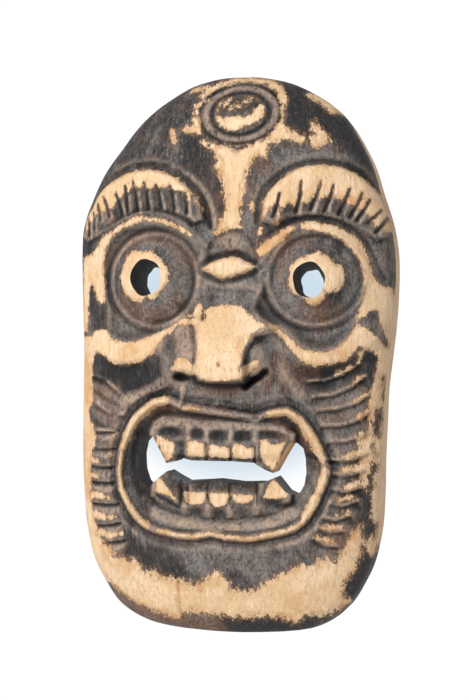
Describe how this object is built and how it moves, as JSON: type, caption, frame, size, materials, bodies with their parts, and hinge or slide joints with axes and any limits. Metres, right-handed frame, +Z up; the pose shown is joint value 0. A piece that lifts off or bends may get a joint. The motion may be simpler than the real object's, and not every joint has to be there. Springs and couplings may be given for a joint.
{
  "type": "carved wooden mask",
  "caption": "Wrathful face mask carved from one block of wood, with pierced eyes and an open fanged mouth, hollowed behind and hung on a wall by a swinging ring.",
  "frame": {"origin": "the point of the wall plane that the hanging nail goes through: on the back plane, in the middle of the hanger, where the raised ring carries the mask", "axes": "+Z up towards the crown, -Y out of the wall the way the face looks, +X to the right as the face is looked at"},
  "size_m": [0.1399, 0.053, 0.241],
  "materials": {
    "carved_wood": "dry carved wood, burnt and stained dark, rubbed back to bare wood on its high parts",
    "strap_brass": "thin brass-plated sheet, dulled",
    "ring_brass": "brass-plated wire",
    "screw_steel": "plain zinc-plated steel"
  },
  "bodies": {
    "mask": {"mask_body": "carved_wood", "hanger_strap": "strap_brass", "hanger_screw": "screw_steel"},
    "ring": {"hanger_ring": "ring_brass"}
  },
  "joints": [
    {"name": "ring_swing", "type": "hinge", "parent": "mask", "child": "ring", "pos_m": [0, -0.00494, -0.008], "axis": [1, 0, 0], "range_deg": [0, 170]}
  ]
}
